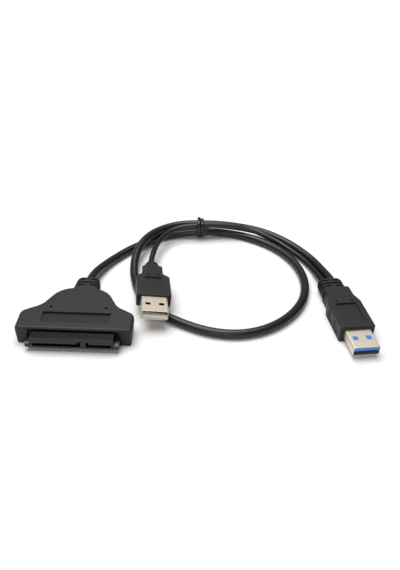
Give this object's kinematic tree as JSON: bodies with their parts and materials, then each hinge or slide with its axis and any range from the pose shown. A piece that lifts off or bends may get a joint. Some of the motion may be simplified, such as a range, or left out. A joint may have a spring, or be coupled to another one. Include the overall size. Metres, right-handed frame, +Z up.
{
  "type": "usb to sata adapter",
  "caption": "Adapter lead: a 22-pin SATA socket head on a long black cord to a blue-tongued plug, with a thin side lead to a second plug.",
  "frame": {"origin": "middle of the SATA head's underside, halfway between the socket's tip and the end of its strain relief, at the height of the surface it lies on", "axes": "+X along the socket's row of contacts, the power contacts being on the -X side; +Y from the socket back towards the cord; +Z up out of the head's top"},
  "size_m": [0.1576, 0.1083, 0.0121],
  "materials": {
    "moulded_pvc": "fine matte moulded PVC, dark charcoal",
    "cord_pvc": "smooth soft PVC jacket, satin black",
    "tie_plastic": "glossy black",
    "socket_plastic": "satin black glass-filled plastic",
    "nickel_shell": "bright nickel plate, faintly brushed",
    "gold_plate": "thin gold plate",
    "blue_insulator": "satin blue",
    "white_insulator": "satin off-white",
    "board_laminate": "green solder mask",
    "black_epoxy": "matte black moulding compound",
    "tinned_can": "drawn steel can",
    "ceramic": "tan ceramic",
    "wire_insulation": "plain wire insulation"
  },
  "bodies": {
    "root": {"bridge_chip": "black_epoxy", "cable_tie": "tie_plastic", "capacitor_1": "ceramic", "capacitor_2": "ceramic", "capacitor_3": "ceramic", "circuit_board": "board_laminate", "crystal": "tinned_can", "head_conductors": "wire_insulation", "inductor": "black_epoxy", "main_cable": "cord_pvc", "power_cable": "cord_pvc", "regulator": "black_epoxy", "resistor_1": "black_epoxy", "resistor_2": "black_epoxy", "sata_connector_body": "socket_plastic", "sata_housing": "moulded_pvc", "sata_power_contact_01": "gold_plate", "sata_power_contact_02": "gold_plate", "sata_power_contact_03": "gold_plate", "sata_power_contact_04": "gold_plate", "sata_power_contact_05": "gold_plate", "sata_power_contact_06": "gold_plate", "sata_power_contact_07": "gold_plate", "sata_power_contact_08": "gold_plate", "sata_power_contact_09": "gold_plate", "sata_power_contact_10": "gold_plate", "sata_power_contact_11": "gold_plate", "sata_power_contact_12": "gold_plate", "sata_power_contact_13": "gold_plate", "sata_power_contact_14": "gold_plate", "sata_power_contact_15": "gold_plate", "sata_signal_contact_01": "gold_plate", "sata_signal_contact_02": "gold_plate", "sata_signal_contact_03": "gold_plate", "sata_signal_contact_04": "gold_plate", "sata_signal_contact_05": "gold_plate", "sata_signal_contact_06": "gold_plate", "sata_signal_contact_07": "gold_plate", "usb2_conductors": "wire_insulation", "usb2_contact_1": "gold_plate", "usb2_contact_2": "gold_plate", "usb2_contact_3": "gold_plate", "usb2_contact_4": "gold_plate", "usb2_overmould": "moulded_pvc", "usb2_shell": "nickel_shell", "usb2_tongue": "white_insulator", "usb3_conductors": "wire_insulation", "usb3_contact_1": "gold_plate", "usb3_contact_2": "gold_plate", "usb3_contact_3": "gold_plate", "usb3_contact_4": "gold_plate", "usb3_overmould": "moulded_pvc", "usb3_rear_contact_1": "gold_plate", "usb3_rear_contact_2": "gold_plate", "usb3_rear_contact_3": "gold_plate", "usb3_rear_contact_4": "gold_plate", "usb3_rear_contact_5": "gold_plate", "usb3_shell": "nickel_shell", "usb3_tongue": "blue_insulator"}
  },
  "joints": []
}
